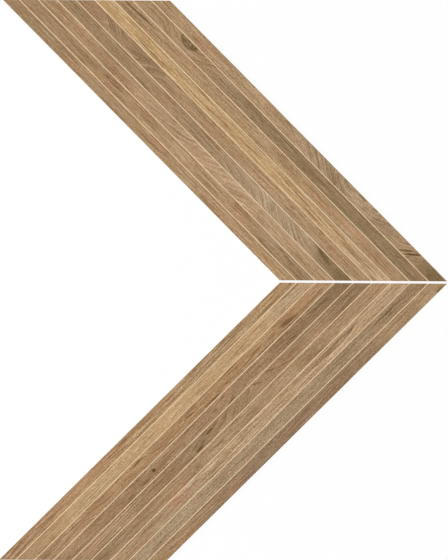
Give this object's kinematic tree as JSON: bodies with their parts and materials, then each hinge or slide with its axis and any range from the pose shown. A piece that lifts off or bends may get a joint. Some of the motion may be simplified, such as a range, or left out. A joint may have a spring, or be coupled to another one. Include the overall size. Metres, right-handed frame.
{
  "type": "chevron wall tile",
  "caption": "Chevron-shaped wood-effect porcelain wall tile: two mirrored arms with scored strips on the face and keyed backs, bonded to a wall with adhesive.",
  "frame": {"origin": "middle of the tile's outline, on the plane of the back ribs that it rests on", "axes": "+Z out of the printed face, +X the way the chevron points, +Y along the longest side, across the mitre joint towards the upper arm"},
  "size_m": [0.5656, 0.7102, 0.009],
  "materials": {
    "wood_effect_porcelain": "matte"
  },
  "bodies": {
    "root": {"upper_arm": "wood_effect_porcelain", "lower_arm": "wood_effect_porcelain"}
  },
  "joints": []
}
